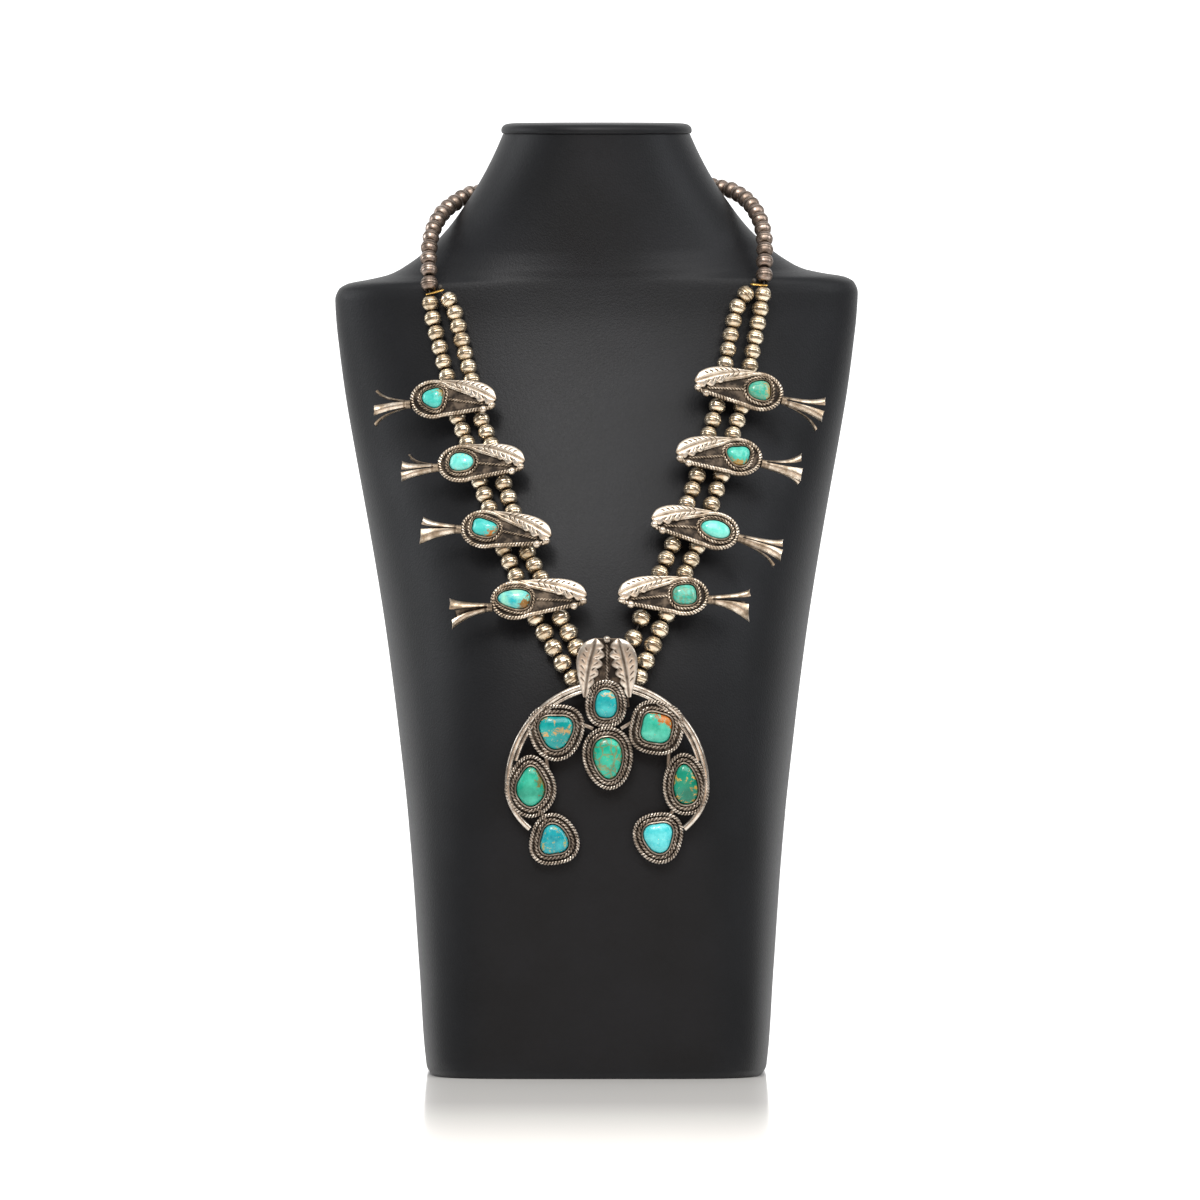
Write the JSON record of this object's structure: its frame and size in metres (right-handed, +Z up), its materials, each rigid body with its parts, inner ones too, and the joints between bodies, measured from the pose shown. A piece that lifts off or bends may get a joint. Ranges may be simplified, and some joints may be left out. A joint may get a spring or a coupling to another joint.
{
  "type": "squash blossom necklace on neck bust",
  "caption": "Squash blossom necklace of silver beads, turquoise-set blossoms and a crescent naja pendant, laid on a plain black neck bust.",
  "frame": {"origin": "on the floor under the middle of the bust's neck", "axes": "+Z up, -Y towards the front of the bust, +X to the right as seen from the front"},
  "size_m": [0.2106, 0.1545, 0.3807],
  "materials": {
    "leatherette": "satin",
    "silver": "tarnished",
    "turquoise": "polished",
    "gold_wire": "polished",
    "thread": "waxed"
  },
  "bodies": {
    "root": {"bust_form": "leatherette", "bust_cap": "leatherette", "neck_beads_left": "silver", "neck_beads_right": "silver", "clasp": "silver", "outer_beads_left": "silver", "inner_beads_left": "silver", "outer_beads_right": "silver", "inner_beads_right": "silver", "main_thread": "thread", "inner_thread": "thread", "split_link_left": "gold_wire", "split_link_right": "gold_wire", "blossom_left_1": "silver", "blossom_left_2": "silver", "blossom_left_3": "silver", "blossom_left_4": "silver", "blossom_right_1": "silver", "blossom_right_2": "silver", "blossom_right_3": "silver", "blossom_right_4": "silver", "blossom_left_1_stone": "turquoise", "blossom_left_2_stone": "turquoise", "blossom_left_3_stone": "turquoise", "blossom_left_4_stone": "turquoise", "blossom_right_1_stone": "turquoise", "blossom_right_2_stone": "turquoise", "blossom_right_3_stone": "turquoise", "blossom_right_4_stone": "turquoise", "naja": "silver", "naja_stone_1": "turquoise", "naja_stone_2": "turquoise", "naja_stone_3": "turquoise", "naja_stone_4": "turquoise", "naja_stone_5": "turquoise", "naja_stone_6": "turquoise", "naja_stone_7": "turquoise", "naja_stone_8": "turquoise"}
  },
  "joints": []
}
